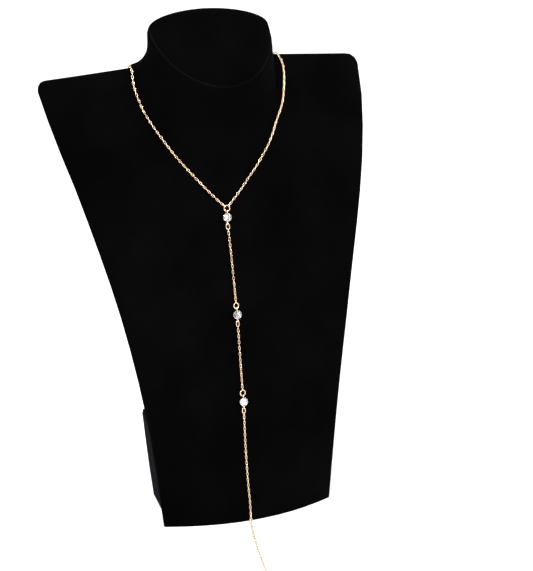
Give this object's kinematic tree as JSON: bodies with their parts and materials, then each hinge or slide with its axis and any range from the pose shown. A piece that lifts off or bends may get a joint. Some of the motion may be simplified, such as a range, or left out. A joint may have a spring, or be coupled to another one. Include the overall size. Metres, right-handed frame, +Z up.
{
  "type": "body chain necklace on a neck bust",
  "caption": "Fine gold body chain with round crystals on a long front drop, laid over a velvet covered neck bust on a rear foot.",
  "frame": {"origin": "on the flat underside of the rear foot, in the middle of the bust's width, at table level", "axes": "+Z up the bust, -Y out of the chest towards the viewer, +X to the viewer's right"},
  "size_m": [0.23, 0.1799, 0.3337],
  "materials": {
    "velvet": "black velvet pile",
    "gold": "polished pale gold plate",
    "crystal": "clear cut crystal"
  },
  "bodies": {
    "root": {"neck_bust": "velvet", "rear_foot": "velvet", "neck_chain_left": "gold", "neck_chain_right": "gold", "left_front_link": "gold", "left_back_link": "gold", "right_front_link": "gold", "right_back_link": "gold", "catch_ring": "gold", "spring_ring_clasp": "gold", "jump_ring_1": "gold", "jump_ring_2": "gold", "jump_ring_3": "gold", "bezel_1": "gold", "bezel_2": "gold", "bezel_3": "gold", "crystal_1": "crystal", "crystal_2": "crystal", "crystal_3": "crystal", "lower_ring_1": "gold", "lower_ring_2": "gold", "lower_ring_3": "gold", "drop_chain_1": "gold", "drop_chain_2": "gold", "tail_top_link": "gold", "tail_chain": "gold", "tail_end_link": "gold"}
  },
  "joints": []
}
